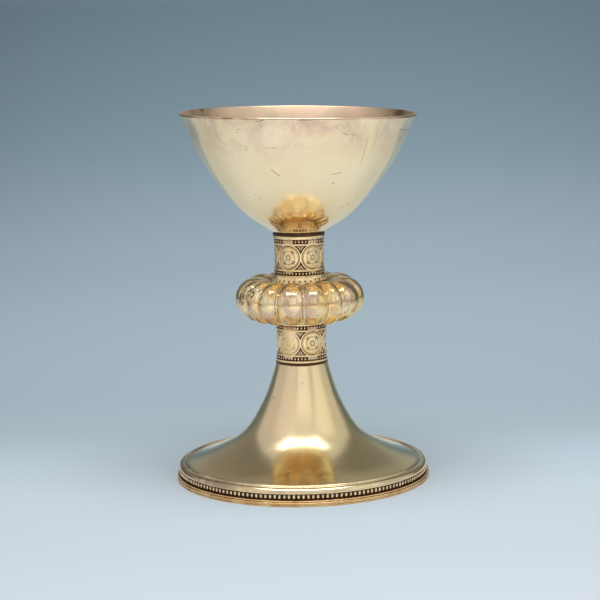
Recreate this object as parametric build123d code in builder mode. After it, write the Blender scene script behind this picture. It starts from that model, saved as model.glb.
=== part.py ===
from build123d import *
from math import asin, degrees
import os

# Communion chalice of gilded silver. A raised bowl and a spreading foot are joined by a stem of
# two engraved sleeves with a lobed knop between them. Every piece is its own solid. The stem
# pieces are threaded on a core tube, and one tie rod, soldered into the boss under the bowl,
# draws the stack together and is riveted over inside the neck of the foot.
# Millimetres, +Z up. The origin is the centre of the circle that the foot stands on.

# ---- foot ----
foot_height = 51.0
foot_edge_radius = 54.8
foot_neck_radius = 11.3
foot_wall = 1.0
foot_top_plate = 1.2
foot_moulding_radius = 2.1
foot_moulding_crest = 7.5
foot_moulding_start = 105.0
foot_ridge_radius = 51.4
foot_ridge_crest = 8.15
foot_ridge_half_width = 0.6
foot_plate_edge_height = 7.7
# The flare, as (share of the way out from the neck, share of the way up from the ridge's foot).
foot_flare = [(0.037, 0.884), (0.147, 0.607), (0.226, 0.468), (0.382, 0.270), (0.604, 0.141), (0.859, 0.041)]
flare_steps = 16

# ---- rim of the foot ----
rim_band_radius = 54.2
rim_band_wall = 0.8
rim_pearl_height = 2.36
rim_pearl_radius = 0.8
rim_pearl_count = 170
rim_pearl_backing = 0.15
rim_upper_wire_height = 0.6
rim_upper_wire_radius = 55.5
rim_upper_wire_gap = 0.3
rim_wire_groove = 0.15
rim_lower_wire_height = 1.16
rim_lower_wire_radius = 55.7
rim_flange_height = 0.63
rim_flange_radius = 55.7
rim_flange_width = 3.2

# ---- stem ----
core_radius = 9.6
core_wall = 0.8
sleeve_clearance = 0.1
sleeve_wall = 1.05
stem_flange_radius = 11.3
plain_wire_radius = 11.1
stem_pearl_radius = 0.55
stem_pearl_backing = 0.15
stem_pearl_count = 46
base_collar_height = 1.0
base_collar_radius = 11.35
# Heights of the rings and of the engraved panel, from the lower end of each sleeve upwards.
lower_stem_heights = {
    "bottom_flange": 1.0,
    "bottom_pearls": 1.8,
    "bottom_wire": 0.6,
    "panel": 10.6,
    "top_wire": 0.65,
    "top_pearls": 1.75,
    "top_flange": 0.9,
}
upper_stem_heights = {
    "bottom_flange": 0.4,
    "bottom_pearls": 1.7,
    "bottom_wire": 0.8,
    "panel": 10.6,
    "top_wire": 0.75,
    "top_pearls": 1.75,
    "top_flange": 1.5,
}

# ---- knop ----
knop_seat_below = 10.0
knop_seat_above = 10.7
knop_ring_radius = 18.9
knop_lobe_depth = 9.3
knop_lobe_half_width = 6.75
knop_lobe_count = 14
knop_first_lobe_angle = 80.1
knop_wall = 0.9
knop_neck_radius = 11.5
knop_collar_top_radius = 11.2
knop_collar_skirt_radius = 12.8
knop_collar_spigot = 1.2
knop_collar_lip = 1.0

# ---- bowl ----
bowl_height = 52.0
bowl_rim_radius = 51.7
bowl_wall = 1.0
bowl_lip_rounding = 0.4
bowl_lip_slope = (0.49, 0.87)
# The outline, as (share of the rim radius, share of the bowl's height).
bowl_outline = [(0.12, 0.001), (0.219, 0.013), (0.27, 0.042), (0.408, 0.128), (0.624, 0.346), (0.812, 0.615),
                (0.908, 0.80), (0.958, 0.92)]
bowl_steps = 14
boss_radius = 11.3
boss_thickness = 0.5
boss_skirt_height = 1.25
boss_groove_depth = 0.35
boss_groove_height = 0.3
boss_spigot_length = 3.0

# ---- tie rod ----
rod_radius = 2.5
rod_clearance = 0.1
rivet_washer_radius = 8.0
rivet_washer_thickness = 1.2
rivet_head_radius = 4.4
rivet_head_height = 1.8

# ---- heights of the joints between the pieces ----
sleeve_bore = core_radius + sleeve_clearance
sleeve_radius = sleeve_bore + sleeve_wall
core_bore = core_radius - core_wall
rod_hole_radius = rod_radius + rod_clearance
lower_stem_base = foot_height + base_collar_height
lower_stem_top = lower_stem_base + sum(lower_stem_heights.values())
knop_centre = lower_stem_top + knop_seat_below
upper_stem_base = knop_centre + knop_seat_above
upper_stem_top = upper_stem_base + sum(upper_stem_heights.values())
bowl_base = upper_stem_top + boss_thickness
rim_upper_wire_base = rim_flange_height + rim_lower_wire_height + rim_wire_groove
rim_pearl_base = rim_upper_wire_base + rim_upper_wire_height + rim_upper_wire_gap
rim_band_top = rim_pearl_base + rim_pearl_height

os.makedirs("parts", exist_ok=True)


def save(builder, name):
    """Labels a finished piece and writes it under its own name."""
    builder.part.label = name
    export_step(builder.part, f"parts/{name}.step")
    return builder.part


def moved_sideways(curve, distance, steps):
    """Points at equal steps along a curve, each moved to the curve's left by the distance."""
    points = []
    for step in range(steps + 1):
        tangent = curve % (step / steps)
        points.append(curve @ (step / steps) + Vector(-tangent.Y, tangent.X) * distance)
    return points


def ring(name, base, height, inner_radius, outer_radius, rounding=0.0):
    """A flat ring about the stem's axis, with both outer edges rounded where rounding is given."""
    with BuildPart() as piece:
        with BuildSketch(Plane.XY.offset(base)):
            Circle(outer_radius)
            Circle(inner_radius, mode=Mode.SUBTRACT)
        extrude(amount=height)
        if rounding > 0:
            outer_edges = piece.edges().filter_by(GeomType.CIRCLE).sort_by(SortBy.RADIUS)[-2:]
            fillet(outer_edges, radius=rounding)
    return save(piece, name)


def pearl_wire(name, base, height, seat_radius, backing, pearl_radius, count):
    """A strip round the seat, set with a row of half pearls."""
    with BuildPart() as piece:
        with BuildSketch(Plane.XY.offset(base)):
            Circle(seat_radius + backing)
        extrude(amount=height)
        with Locations((0, 0, base + height / 2)):
            with PolarLocations(seat_radius, count):
                Sphere(pearl_radius)
        with BuildSketch(Plane.XY.offset(base)):
            Circle(seat_radius)
        extrude(amount=height, mode=Mode.SUBTRACT)
    return save(piece, name)


# ---- foot shell: trumpet neck, spreading base, thin ridge and rounded edge, in one raised sheet ----
moulding_x = foot_edge_radius - foot_moulding_radius
moulding_z = foot_moulding_crest - foot_moulding_radius
flare_end_x = foot_ridge_radius - foot_ridge_half_width
flare_end_z = foot_plate_edge_height
flare_points = [(foot_neck_radius, foot_height)]
for out, up in foot_flare:
    flare_x = foot_neck_radius + out * (flare_end_x - foot_neck_radius)
    flare_z = flare_end_z + up * (foot_height - flare_end_z)
    flare_points.append((flare_x, flare_z))
flare_points.append((flare_end_x, flare_end_z))

with BuildPart() as foot_shell:
    with BuildSketch(Plane.XZ):
        with BuildLine():
            flare = Spline(*flare_points)
            outer_arc = CenterArc((moulding_x, moulding_z), foot_moulding_radius, 0, foot_moulding_start)
            ThreePointArc(outer_arc @ 1, (foot_ridge_radius, foot_ridge_crest), flare @ 1)
            inner_arc = CenterArc((moulding_x, moulding_z), foot_moulding_radius - foot_wall, 0, 180)
            inner_flare_points = moved_sideways(flare, -foot_wall, flare_steps)
            plate_underside = foot_height - foot_top_plate
            inner_flare_points = [point for point in inner_flare_points if point.Y < plate_underside]
            neck_corner = (inner_flare_points[0].X, plate_underside)
            inner_flare = Spline(*reversed(inner_flare_points))
            Polyline(outer_arc @ 0, (foot_edge_radius, rim_band_top),
                     (foot_edge_radius - foot_wall, rim_band_top), inner_arc @ 0)
            Line(inner_arc @ 1, inner_flare @ 0)
            Polyline(inner_flare @ 1, neck_corner, (rod_hole_radius, plate_underside),
                     (rod_hole_radius, foot_height), flare @ 0)
        make_face()
    revolve(axis=Axis.Z)
save(foot_shell, "foot_shell")

# ---- rim of the foot: a standing band on a flat flange, dressed with two wires and a pearl row ----
ring("foot_rim_band", rim_flange_height, rim_band_top - rim_flange_height,
     rim_band_radius - rim_band_wall, rim_band_radius)
ring("foot_base_flange", 0, rim_flange_height, rim_flange_radius - rim_flange_width, rim_flange_radius)
ring("foot_lower_wire", rim_flange_height, rim_lower_wire_height, rim_band_radius,
     rim_lower_wire_radius, rim_lower_wire_height * 0.45)
ring("foot_upper_wire", rim_upper_wire_base, rim_upper_wire_height, rim_band_radius,
     rim_upper_wire_radius, rim_upper_wire_height * 0.45)
pearl_wire("foot_pearl_wire", rim_pearl_base, rim_pearl_height, rim_band_radius, rim_pearl_backing,
           rim_pearl_radius, rim_pearl_count)

# ---- stem: a collar on the foot, then a dressed sleeve below and above the knop ----
ring("stem_base_collar", foot_height, base_collar_height, sleeve_bore, base_collar_radius,
     base_collar_height * 0.3)


def dressed_sleeve(name, base, heights):
    """A sleeve with its engraved panel bare, and six rings soldered round it above and below."""
    ring(f"{name}_sleeve", base, sum(heights.values()), sleeve_bore, sleeve_radius)
    level = base
    for part_of_sleeve, height in heights.items():
        ring_name = f"{name}_{part_of_sleeve}"
        if part_of_sleeve.endswith("flange"):
            ring(ring_name, level, height, sleeve_radius, stem_flange_radius, height * 0.2)
        elif part_of_sleeve.endswith("wire"):
            ring(ring_name, level, height, sleeve_radius, plain_wire_radius, height * 0.25)
        elif part_of_sleeve.endswith("pearls"):
            pearl_wire(f"{ring_name[:-1]}_wire", level, height, sleeve_radius, stem_pearl_backing,
                       stem_pearl_radius, stem_pearl_count)
        level += height


dressed_sleeve("lower_stem", lower_stem_base, lower_stem_heights)
dressed_sleeve("upper_stem", upper_stem_base, upper_stem_heights)


# ---- knop: two hollow lobed shells, soldered at the equator and gripped by two collars ----
def upper_lobes(inset):
    """The top half of a ring of lobes, each an ellipse turned about the tangent through its centre."""
    lobe_centre = (knop_ring_radius, 0, knop_centre)
    with BuildPart() as lobe:
        with BuildSketch(Plane.XY.offset(knop_centre)):
            with Locations((knop_ring_radius, 0)):
                Ellipse(knop_lobe_depth - inset, knop_lobe_half_width - inset)
                Rectangle(2 * knop_lobe_depth, 2 * knop_lobe_depth, align=(Align.MAX, Align.CENTER),
                          mode=Mode.SUBTRACT)
        revolve(axis=Axis(lobe_centre, (0, -1, 0)), revolution_arc=180)
    with BuildPart() as lobes:
        with PolarLocations(0, knop_lobe_count, start_angle=knop_first_lobe_angle):
            add(lobe.part)
    return lobes.part


knop_form = upper_lobes(0)
knop_cavity = upper_lobes(knop_wall)
with BuildPart() as knop_upper_shell:
    add(knop_form)
    add(knop_cavity, mode=Mode.SUBTRACT)
    with Locations((0, 0, knop_centre)):
        Cylinder(knop_neck_radius, 2 * knop_lobe_depth, mode=Mode.SUBTRACT)
save(knop_upper_shell, "knop_upper_shell")

with BuildPart() as knop_lower_shell:
    mirror(knop_upper_shell.part, about=Plane.XY.offset(knop_centre))
save(knop_lower_shell, "knop_lower_shell")

neck_reach = knop_ring_radius - knop_neck_radius
collar_foot = knop_centre + (knop_lobe_depth**2 - neck_reach**2) ** 0.5 - knop_collar_spigot
spigot_radius = knop_neck_radius - sleeve_clearance


def knop_collar(seat):
    """A collar above the knop: a flaring skirt laid on the lobes, and a spigot in the shell's neck."""
    collar_top = knop_centre + seat
    skirt_foot = (knop_collar_skirt_radius, collar_foot + knop_collar_spigot)
    with BuildPart() as collar:
        with BuildSketch(Plane.XZ):
            with BuildLine():
                Polyline((knop_collar_top_radius, collar_top), (spigot_radius, collar_top - knop_collar_lip),
                         (spigot_radius, collar_foot), (knop_collar_skirt_radius, collar_foot), skirt_foot)
                Spline(skirt_foot, (knop_collar_top_radius, collar_top), tangents=((-0.3, 1), (-0.1, 1)))
            make_face()
        revolve(axis=Axis.Z)
        add(knop_form, mode=Mode.SUBTRACT)
        with BuildSketch(Plane.XZ):
            with BuildLine():
                Polyline((sleeve_bore, collar_foot), (spigot_radius, collar_foot),
                         (spigot_radius, collar_top - knop_collar_lip), (knop_collar_top_radius, collar_top),
                         (sleeve_bore, collar_top), close=True)
            make_face()
        revolve(axis=Axis.Z)
    return collar


save(knop_collar(knop_seat_above), "knop_upper_collar")

with BuildPart() as knop_lower_collar:
    mirror(knop_collar(knop_seat_below).part, about=Plane.XY.offset(knop_centre))
save(knop_lower_collar, "knop_lower_collar")

# ---- bowl: raised cup with a slightly turned-out lip ----
bowl_points = [(0, bowl_base)]
for out, up in bowl_outline:
    bowl_points.append((out * bowl_rim_radius, bowl_base + up * bowl_height))
bowl_points.append((bowl_rim_radius, bowl_base + bowl_height))
rim_level = bowl_base + bowl_height


def turned_form(points, lip_tangent):
    """A solid turned from an outline that runs from the stem's axis out to the rim."""
    with BuildPart() as form:
        with BuildSketch(Plane.XZ):
            with BuildLine():
                outline = Spline(*points, tangents=((1, 0), lip_tangent))
                Polyline(outline @ 1, (0, rim_level), outline @ 0)
            make_face()
        revolve(axis=Axis.Z)
    return form.part


bowl_outside_line = Spline(*bowl_points, tangents=((1, 0), bowl_lip_slope))
lip_slope = bowl_outside_line % 1
inside_points = moved_sideways(bowl_outside_line, bowl_wall, bowl_steps)
inside_points[-1] = Vector(bowl_rim_radius - bowl_wall / lip_slope.Y, rim_level)
bowl_form = turned_form(bowl_points, bowl_lip_slope)
with BuildPart() as bowl:
    add(bowl_form)
    add(turned_form(inside_points, bowl_lip_slope), mode=Mode.SUBTRACT)
    fillet(bowl.edges().filter_by(GeomType.CIRCLE).sort_by(Axis.Z)[-2:], radius=bowl_lip_rounding)
save(bowl, "bowl")

# ---- boss: hollowed to the bowl's underside, grooved round its edge, with a spigot for the core ----
boss_groove_base = upper_stem_top + (boss_skirt_height - boss_groove_height) / 2
with BuildPart() as bowl_boss:
    with BuildSketch(Plane.XY.offset(upper_stem_top)):
        Circle(boss_radius)
    extrude(amount=boss_skirt_height)
    add(bowl_form, mode=Mode.SUBTRACT)
    with BuildSketch(Plane.XY.offset(boss_groove_base)):
        Circle(boss_radius)
        Circle(boss_radius - boss_groove_depth, mode=Mode.SUBTRACT)
    extrude(amount=boss_groove_height, mode=Mode.SUBTRACT)
    with BuildSketch(Plane.XY.offset(upper_stem_top - boss_spigot_length)):
        Circle(core_bore - sleeve_clearance)
        Circle(rod_radius, mode=Mode.SUBTRACT)
    extrude(amount=boss_spigot_length)
save(bowl_boss, "bowl_boss")

# ---- inside the stem: core tube, and the tie rod riveted over a washer under the foot's top plate ----
ring("core_tube", foot_height, upper_stem_top - foot_height, core_bore, core_radius)

washer_base = foot_height - foot_top_plate - rivet_washer_thickness
ring("rivet_washer", washer_base, rivet_washer_thickness, rod_hole_radius, rivet_washer_radius,
     rivet_washer_thickness * 0.25)

dome_radius = (rivet_head_radius**2 + rivet_head_height**2) / (2 * rivet_head_height)
with BuildPart() as tie_rod:
    with BuildSketch(Plane.XY.offset(washer_base)):
        Circle(rod_radius)
    extrude(amount=upper_stem_top - washer_base)
    with BuildSketch(Plane.XZ):
        with BuildLine():
            head_dome = CenterArc((0, washer_base - rivet_head_height + dome_radius), dome_radius,
                                  -90, degrees(asin(rivet_head_radius / dome_radius)))
            Polyline(head_dome @ 1, (0, washer_base), head_dome @ 0)
        make_face()
    revolve(axis=Axis.Z)
save(tie_rod, "tie_rod")
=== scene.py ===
import math

import bpy
import numpy as np
from mathutils import Matrix, Vector


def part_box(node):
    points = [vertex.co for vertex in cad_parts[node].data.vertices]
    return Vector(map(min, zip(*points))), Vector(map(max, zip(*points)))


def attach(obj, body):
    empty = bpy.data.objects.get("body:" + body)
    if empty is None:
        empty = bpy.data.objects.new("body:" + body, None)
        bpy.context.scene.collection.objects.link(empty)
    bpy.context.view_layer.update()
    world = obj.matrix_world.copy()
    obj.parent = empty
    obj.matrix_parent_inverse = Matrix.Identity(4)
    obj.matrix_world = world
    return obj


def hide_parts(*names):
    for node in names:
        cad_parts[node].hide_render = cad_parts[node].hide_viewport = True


# A communion chalice of gilded silver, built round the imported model. Lengths are in metres, and MM
# turns millimetres into metres. The stem's axis is Z, and the front of the chalice faces -Y.
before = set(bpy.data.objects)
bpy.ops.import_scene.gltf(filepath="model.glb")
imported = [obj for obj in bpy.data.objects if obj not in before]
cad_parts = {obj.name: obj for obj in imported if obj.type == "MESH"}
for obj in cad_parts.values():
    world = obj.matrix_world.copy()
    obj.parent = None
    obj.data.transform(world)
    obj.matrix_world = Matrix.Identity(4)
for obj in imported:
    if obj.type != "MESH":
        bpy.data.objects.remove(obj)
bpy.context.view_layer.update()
MM = 0.001
TURN = 2 * math.pi
ROOT = "root"

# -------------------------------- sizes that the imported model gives


def span(node):
    """The lowest and the highest level of a node, in metres."""
    low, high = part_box(node)
    return low[2], high[2]


def reach(node):
    """The outer radius of a round node, in metres."""
    low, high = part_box(node)
    return max(high[0], -low[0], high[1], -low[1])


foot_low, foot_top = span("foot_shell")
bowl_low, rim_level = span("bowl")
knop_middle = span("knop_lower_shell")[1]
sleeve_reach = reach("upper_stem_sleeve")

# -------------------------------- lines, grids and meshes


def smooth_line(points, count, start=None, end=None):
    """A cubic spline through the points, spaced by the lengths of its chords.

    Between two knots each coordinate is a cubic whose slopes at the knots make its bending
    continuous. The slopes come from one set of linear equations. The slope at either end is the
    direction given, or it is free of bending."""
    knots = np.asarray(points, float)
    gaps = np.linalg.norm(np.diff(knots, axis=0), axis=1)
    places = np.concatenate([[0.0], np.cumsum(gaps)])
    last = len(knots) - 1
    matrix = np.zeros((last + 1, last + 1))
    right = np.zeros((last + 1, 2))
    rise = np.diff(knots, axis=0) / gaps[:, None]
    for i in range(1, last):
        matrix[i, i - 1: i + 2] = gaps[i], 2 * (gaps[i - 1] + gaps[i]), gaps[i - 1]
        right[i] = 3 * (gaps[i] * rise[i - 1] + gaps[i - 1] * rise[i])
    for row, neighbour, direction, chord in ((0, 1, start, rise[0]), (last, last - 1, end, rise[-1])):
        if direction is None:
            matrix[row, row], matrix[row, neighbour], right[row] = 2, 1, 3 * chord
        else:
            matrix[row, row], right[row] = 1, np.asarray(direction) / np.linalg.norm(direction)
    slopes = np.linalg.solve(matrix, right)
    along = np.linspace(0, places[-1], count)
    cell = np.clip(np.searchsorted(places, along, side="right") - 1, 0, last - 1)
    width = gaps[cell][:, None]
    t = ((along - places[cell]) / gaps[cell])[:, None]
    line = (2 * t**3 - 3 * t**2 + 1) * knots[cell] + (t**3 - 2 * t**2 + t) * width * slopes[cell]
    return line + (-2 * t**3 + 3 * t**2) * knots[cell + 1] + (t**3 - t**2) * width * slopes[cell + 1]


def arc(centre, radius, first, last, count):
    """Points on a circle's arc, between two angles in degrees, anticlockwise from straight out."""
    angle = np.radians(np.linspace(first, last, count))
    return np.stack([centre[0] + radius * np.cos(angle), centre[1] + radius * np.sin(angle)], axis=1)


def moved_sideways(line, distance):
    """The line with every point moved square to it, to its left, by the distance."""
    run = np.gradient(line, axis=0)
    run /= np.linalg.norm(run, axis=1)[:, None]
    return line + distance * np.stack([-run[:, 1], run[:, 0]], axis=1)


def respaced(line, count):
    """The same line, cut into equal lengths."""
    lengths = np.concatenate([[0.0], np.cumsum(np.linalg.norm(np.diff(line, axis=0), axis=1))])
    places = np.linspace(0, lengths[-1], count)
    return np.stack([np.interp(places, lengths, line[:, 0]), np.interp(places, lengths, line[:, 1])], axis=1)


def azimuths(count):
    """Angles round the stem in radians, one for each step, counted from the front towards +X."""
    return np.arange(count) * (TURN / count)


def turned(radius, level, angle):
    """Points at a radius, a level and an angle round the stem."""
    return np.stack([radius * np.sin(angle), -radius * np.cos(angle), level + 0 * angle], axis=-1)


def swept(section, angle):
    """The radii and the levels of a section at every angle, as two grids."""
    return section[None, :, 0] + 0 * angle, section[None, :, 1] + 0 * angle


def build_mesh(name, vertices, faces, material, stands_for, fields=None):
    """Puts vertices and faces into a smooth mesh, with its faces outwards, riding on the root."""
    a, b, c = vertices[faces[:, 0]], vertices[faces[:, 1]], vertices[faces[:, 2]]
    volume = np.einsum("ij,ij->i", a, np.cross(b, c)).sum()
    if faces.shape[1] == 4:
        volume += np.einsum("ij,ij->i", a, np.cross(c, vertices[faces[:, 3]])).sum()
    if volume < 0:
        faces = faces[:, ::-1]
    mesh = bpy.data.meshes.new(name)
    mesh.from_pydata(vertices, [], faces)
    mesh.polygons.foreach_set("use_smooth", np.ones(len(mesh.polygons), bool))
    for field, values in (fields or {}).items():
        layer = mesh.attributes.new(field, "FLOAT", "POINT")
        layer.data.foreach_set("value", np.ascontiguousarray(values, dtype=np.float32).ravel())
    mesh.materials.append(material)
    mesh.validate()
    piece = bpy.data.objects.new(name, mesh)
    bpy.context.collection.objects.link(piece)
    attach(piece, ROOT)
    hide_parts(*stands_for)
    return piece


def moved_right(piece, distance):
    """Moves a piece's vertices to the right, and leaves its origin where it is."""
    piece.data.transform(Matrix.Translation((distance, 0, 0)))


def grid_faces(rows, columns, round_rows, round_columns):
    """Quads between the neighbouring points of a grid, which may close on itself either way."""
    i, j = np.arange(rows - (not round_rows))[:, None], np.arange(columns - (not round_columns))[None, :]
    i2, j2 = (i + 1) % rows, (j + 1) % columns
    corners = [i * columns + j, i2 * columns + j, i2 * columns + j2, i * columns + j2]
    return np.stack(corners, -1).reshape(-1, 4)


def halved(quads):
    """Triangles: the first half of every quad, then the second half of every quad."""
    return np.concatenate([quads[:, [0, 1, 2]], quads[:, [0, 2, 3]]])


def ring_of_grid(name, points, material, stands_for, fields=None):
    """A closed ring: the grid's first step joins its last, and so does each section's."""
    faces = grid_faces(*points.shape[:2], True, True)
    flat = {field: values.ravel() for field, values in (fields or {}).items()}
    return build_mesh(name, points.reshape(-1, 3), faces, material, stands_for, flat)


def cup_of_grid(name, points, material, stands_for, fields):
    """A closed cup of triangles: each section runs from one pole to the other.

    Each pole is one vertex, and a fan of triangles round it closes that end."""
    around, across = points.shape[:2]
    inner = points[:, 1:-1].reshape(-1, 3)
    rows = across - 2
    steps = np.arange(around)
    following = (steps + 1) % around
    start, end = len(inner), len(inner) + 1
    first = np.stack([following * rows, steps * rows, steps * 0 + start], -1)
    last = np.stack([steps * rows + rows - 1, following * rows + rows - 1, steps * 0 + end], -1)
    triangles = np.concatenate([halved(grid_faces(around, rows, True, False)), first, last])
    vertices = np.vstack([inner, points[:, 0].mean(0), points[:, -1].mean(0)])
    flat = {}
    for field, values in fields.items():
        flat[field] = np.concatenate([values[:, 1:-1].ravel(), [values[:, 0].mean(), values[:, -1].mean()]])
    return build_mesh(name, vertices, triangles, material, stands_for, flat)


def bump(x, centre, width):
    """A smooth hill, 1 at its centre and fading to nothing a few widths away."""
    return np.exp(-(((x - centre) / width) ** 2))


def ramp(x, low, high):
    """0 below low and 1 above high, with a smooth rise between."""
    t = np.clip((x - low) / (high - low), 0, 1)
    return t * t * (3 - 2 * t)


def window(x, low, full, fading, gone):
    """0 below low, 1 between full and fading, and 0 above gone."""
    return ramp(x, low, full) * ramp(-x, -gone, -fading)


def angle_between(angle, centre):
    """The signed angle from centre to angle, within half a turn."""
    return (angle - centre + math.pi) % TURN - math.pi


def side_hill(angle, centre, width):
    """A smooth hill round the stem, 1 at the centre's angle."""
    return bump(angle_between(angle, centre), 0, width)


def wander(angle, amount, waves, seed):
    """A slow unevenness round the stem: a few sine waves with seeded phases."""
    random = np.random.default_rng(seed)
    total = np.zeros_like(angle)
    for wave in waves:
        total += np.sin(wave * angle + random.uniform(0, TURN)) * random.uniform(0.4, 1.0)
    return amount * total / len(waves)


# -------------------------------- materials


class Finish:
    """One metal finish, with short calls for the nodes that it is made from."""

    def __init__(self, name, roughness=0.25, metallic=1.0):
        self.material = bpy.data.materials.new(name)
        self.material.use_nodes = True
        self.tree = self.material.node_tree
        self.shader = self.tree.nodes["Principled BSDF"]
        self.shader.inputs["Metallic"].default_value = metallic
        self.shader.inputs["Roughness"].default_value = roughness
        self.place = self.node("ShaderNodeTexCoord").outputs["Object"]

    def node(self, kind, **settings):
        """A new node with its settings."""
        made = self.tree.nodes.new(kind)
        for key, value in settings.items():
            setattr(made, key, value)
        return made

    def link(self, source, target):
        """Feeds an output, or sets a plain value, into an input."""
        if isinstance(source, bpy.types.NodeSocket):
            self.tree.links.new(source, target)
        else:
            target.default_value = source

    def feed(self, node, values):
        """Feeds several inputs of a node, each given by its name."""
        for name, value in values.items():
            self.link(value, node.inputs[name])

    def stretched(self, scale, turn):
        """Object coordinates, scaled and turned."""
        mapping = self.node("ShaderNodeMapping")
        self.feed(mapping, {"Scale": scale, "Rotation": turn, "Vector": self.place})
        return mapping.outputs["Vector"]

    def noise(self, scale, detail=4.0, roughness=0.55, vector=None, distortion=0.0):
        """A cloud pattern between 0 and 1."""
        made = self.node("ShaderNodeTexNoise")
        self.feed(made, {"Scale": scale, "Detail": detail, "Roughness": roughness, "Distortion": distortion,
                         "Vector": vector or self.place})
        return made.outputs["Fac"]

    def patches(self, low, high, *cloud):
        """A cloud pattern, stretched so that low becomes 0 and high becomes 1."""
        return self.between(self.noise(*cloud), low, high)

    def dots(self, scale, size, share):
        """Sparse round pits: 1 inside a pit, 0 outside. Only a share of the cells holds one."""
        cells = self.node("ShaderNodeTexVoronoi", feature="F1")
        self.feed(cells, {"Scale": scale, "Vector": self.place})
        split = self.node("ShaderNodeSeparateColor")
        self.link(cells.outputs["Color"], split.inputs["Color"])
        chosen = self.math("LESS_THAN", split.outputs["Red"], share)
        reach_of_pit = self.times(split.outputs["Green"], size)
        inside = self.math("LESS_THAN", cells.outputs["Distance"], reach_of_pit)
        return self.times(chosen, inside)

    def math(self, operation, first, second=0.0, third=0.0, clamp=False):
        """One step of arithmetic."""
        made = self.node("ShaderNodeMath", operation=operation, use_clamp=clamp)
        for source, target in zip((first, second, third), made.inputs):
            self.link(source, target)
        return made.outputs[0]

    def times(self, first, second):
        """The product of two values."""
        return self.math("MULTIPLY", first, second)

    def scaled(self, value, factor, base):
        """The value times a factor, with a base added."""
        return self.math("MULTIPLY_ADD", value, factor, base)

    def larger(self, first, second):
        """The larger of two values."""
        return self.math("MAXIMUM", first, second)

    def arrows(self, operation, first, second):
        """The outputs of one step of vector arithmetic. A SCALE step's second value is a number."""
        made = self.node("ShaderNodeVectorMath", operation=operation)
        self.link(first, made.inputs[0])
        self.link(second, made.inputs["Scale"] if operation == "SCALE" else made.inputs[1])
        return made.outputs

    def between(self, value, low, high, smooth=True):
        """The value stretched so that low becomes 0 and high becomes 1."""
        made = self.node("ShaderNodeMapRange")
        made.interpolation_type = "SMOOTHSTEP" if smooth else "LINEAR"
        self.feed(made, {"From Min": low, "From Max": high, "Value": value})
        return made.outputs["Result"]

    def mix(self, share, first, second):
        """Two colours mixed by a share."""
        made = self.node("ShaderNodeMix", data_type="RGBA", blend_type="MIX")
        self.link(share, made.inputs["Factor"])
        for source, target in ((first, made.inputs[6]), (second, made.inputs[7])):
            self.link(source if isinstance(source, bpy.types.NodeSocket) else (*source, 1.0), target)
        return made.outputs[2]

    def tint(self, colour, value, strength, other):
        """The colour turned towards another, by a value times a strength."""
        return self.mix(self.times(value, strength), colour, other)

    def field(self, name):
        """A value that the mesh carries at its vertices."""
        return self.node("ShaderNodeAttribute", attribute_name=name).outputs["Fac"]

    def axis(self, letter):
        """One of the object coordinates."""
        split = self.node("ShaderNodeSeparateXYZ")
        self.link(self.place, split.inputs["Vector"])
        return split.outputs[letter]

    def scratches(self, scale, length, turn, threshold):
        """Thin straight marks: a cloud pattern drawn out along one direction and cut off high."""
        fine = self.noise(1.0, 2.0, 0.5, self.stretched((scale, scale * length, scale), turn))
        return self.between(fine, threshold, threshold + 0.03)

    def stroke(self, start, end, width):
        """One short mark on the front: 1 on the segment between two (X, Z) points, 0 beyond its width."""
        flat = self.arrows("MULTIPLY", self.place, (1, 0, 1))[0]
        away = self.arrows("SUBTRACT", flat, (start[0] * MM, 0, start[1] * MM))[0]
        along = Vector(((end[0] - start[0]) * MM, 0, (end[1] - start[1]) * MM))
        along_per_square = along / max(along.length_squared, 1e-12)
        share = self.math("ADD", self.arrows("DOT_PRODUCT", away, along_per_square)["Value"], 0.0, clamp=True)
        gap = self.arrows("DISTANCE", away, self.arrows("SCALE", along, share)[0])["Value"]
        inside = self.between(gap, width * MM, width * 0.5 * MM)
        return self.times(inside, self.math("LESS_THAN", self.axis("Y"), 0.0))

    def finish(self, colour, roughness=None, height=None, depth=0.0002, strength=0.4):
        """Joins colour, roughness and relief to the shader, and gives the material."""
        self.link(colour if isinstance(colour, bpy.types.NodeSocket) else (*colour, 1.0),
                  self.shader.inputs["Base Color"])
        if roughness is not None:
            self.link(roughness, self.shader.inputs["Roughness"])
        if height is not None:
            relief = self.node("ShaderNodeBump")
            self.feed(relief, {"Distance": depth, "Strength": strength, "Height": height})
            self.link(relief.outputs["Normal"], self.shader.inputs["Normal"])
        return self.material


# Colours of the metal, as the light it gives back.
PALE_GILT = (0.96, 0.775, 0.48)
CREAM_GILT = (0.97, 0.80, 0.56)
ROSE_TARNISH = (0.72, 0.50, 0.38)
# The inside gilt is darker: painted shade inside the cup.
SHADED_INSIDE_GILT = (0.55, 0.425, 0.30)
BROWN_TARNISH = (0.20, 0.115, 0.065)

# Marks on the front of the bowl, in millimetres. Pits: X, Z, half width and strength. Scratches: the
# X and Z of both ends, half width and strength.
BOWL_PITS = [(-24.0, 155.9, 0.3, 0.9), (-24.6, 154.7, 0.25, 0.9), (-20.8, 148.8, 0.26, 0.95),
             (-20.9, 147.5, 0.26, 0.95), (-17.9, 127.5, 0.26, 0.9), (-16.0, 125.7, 0.24, 0.85),
             (-3.0, 129.3, 0.2, 0.7), (24.9, 133.1, 0.3, 0.6), (25.1, 125.2, 0.35, 0.55),
             (21.4, 122.1, 0.38, 0.55), (21.9, 117.4, 0.4, 0.5), (10.6, 142.7, 0.3, 0.35),
             (21.8, 139.5, 0.3, 0.3), (-14.1, 159.8, 0.42, 0.95), (12.7, 155.1, 0.25, 0.4),
             (-44.7, 159.0, 0.3, 0.5), (-23.9, 134.9, 0.24, 0.4), (-13.9, 132.2, 0.2, 0.3),
             (-29.9, 139.3, 0.3, 0.3), (16.1, 130.0, 0.22, 0.4)]
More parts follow.
